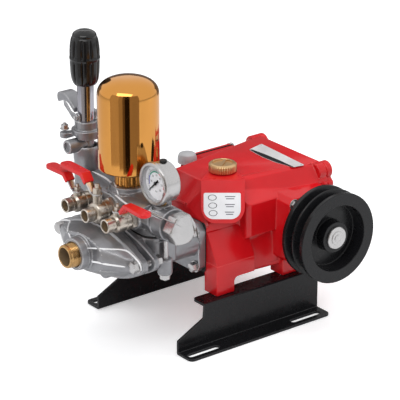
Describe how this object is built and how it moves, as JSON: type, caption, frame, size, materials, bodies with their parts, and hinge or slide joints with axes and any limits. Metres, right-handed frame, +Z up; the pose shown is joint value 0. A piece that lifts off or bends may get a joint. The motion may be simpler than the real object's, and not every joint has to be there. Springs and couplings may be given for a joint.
{
  "type": "triplex plunger pump",
  "caption": "Red belt-driven triplex plunger pump with discharge valves, gold air chamber, pressure gauge, regulator and two-groove pulley on bent steel base rails.",
  "frame": {"origin": "on the ground, in the middle of the four base slots", "axes": "+X from the valves to the crank end, +Y away from the pulley, +Z up"},
  "size_m": [0.477, 0.371, 0.486],
  "materials": {
    "red_paint": "gloss",
    "black_paint": "satin",
    "pulley_black": "satin, machined face",
    "cast_silver": "silver-painted casting",
    "nickel": "nickel plate",
    "steel": "bright",
    "chrome": "polished",
    "gold": "gold mirror",
    "brass": "machined",
    "red_vinyl": "gloss",
    "black_plastic": "gloss",
    "gasket": "matte",
    "grey_plastic": "matte",
    "tag_red": "satin"
  },
  "bodies": {
    "pump": {"rail_near": "black_paint", "rail_far": "black_paint", "crankcase": "red_paint", "rear_cover": "red_paint", "far_gasket": "gasket", "far_bearing_cover": "red_paint", "near_seal_ring": "steel", "oil_cap": "brass", "breather_cap": "grey_plastic", "cylinder_block": "cast_silver", "suction_cover": "cast_silver", "inlet_nipple": "brass", "discharge_manifold": "cast_silver", "head_gasket": "gasket", "manifold_plug": "steel", "head_stud_near": "steel", "head_stud_far": "steel", "air_chamber": "gold", "air_chamber_collar": "gold", "gauge_case": "steel", "gauge_bezel": "steel", "gauge_stem": "brass", "gauge_plug": "gasket", "regulator_body": "cast_silver", "regulator_bonnet": "cast_silver", "regulator_tube": "chrome", "relief_pin": "steel", "valve_near_body": "nickel", "valve_middle_body": "nickel", "valve_far_body": "nickel", "hang_tag": "tag_red"},
    "crank": {"crankshaft": "steel", "pulley": "pulley_black", "pulley_washer": "steel"},
    "near_lever": {"valve_near_lever": "steel", "valve_near_grip": "red_vinyl", "valve_near_nut": "nickel"},
    "middle_lever": {"valve_middle_lever": "steel", "valve_middle_grip": "red_vinyl", "valve_middle_nut": "nickel"},
    "far_lever": {"valve_far_lever": "steel", "valve_far_grip": "red_vinyl", "valve_far_nut": "nickel"},
    "pressure_knob": {"regulator_knob": "black_plastic"},
    "relief_handle": {"relief_lever": "cast_silver"},
    "needle": {"gauge_needle": "black_paint"}
  },
  "joints": [
    {"name": "crank_turn", "type": "hinge", "parent": "pump", "child": "crank", "pos_m": [0.12, -0.166, 0.16], "axis": [0, -1, 0], "continuous": true},
    {"name": "near_valve_turn", "type": "hinge", "parent": "pump", "child": "near_lever", "pos_m": [-0.2155, -0.054, 0.2465], "axis": [0, 0, 1], "range_deg": [-90, 0]},
    {"name": "middle_valve_turn", "type": "hinge", "parent": "pump", "child": "middle_lever", "pos_m": [-0.2155, 0, 0.258], "axis": [0, 0, 1], "range_deg": [0, 90]},
    {"name": "far_valve_turn", "type": "hinge", "parent": "pump", "child": "far_lever", "pos_m": [-0.2155, 0.054, 0.2465], "axis": [0, 0, 1], "range_deg": [0, 90]},
    {"name": "pressure_knob_turn", "type": "hinge", "parent": "pump", "child": "pressure_knob", "pos_m": [-0.154, 0.116, 0.437], "axis": [0, 0, 1], "continuous": true},
    {"name": "relief_lift", "type": "hinge", "parent": "pump", "child": "relief_handle", "pos_m": [-0.154, 0.116, 0.344], "axis": [1, 0, 0], "range_deg": [-30, 0]},
    {"name": "needle_swing", "type": "hinge", "parent": "pump", "child": "needle", "pos_m": [-0.1674, -0.089, 0.293], "axis": [1, 0, 0], "range_deg": [0, 270]}
  ]
}
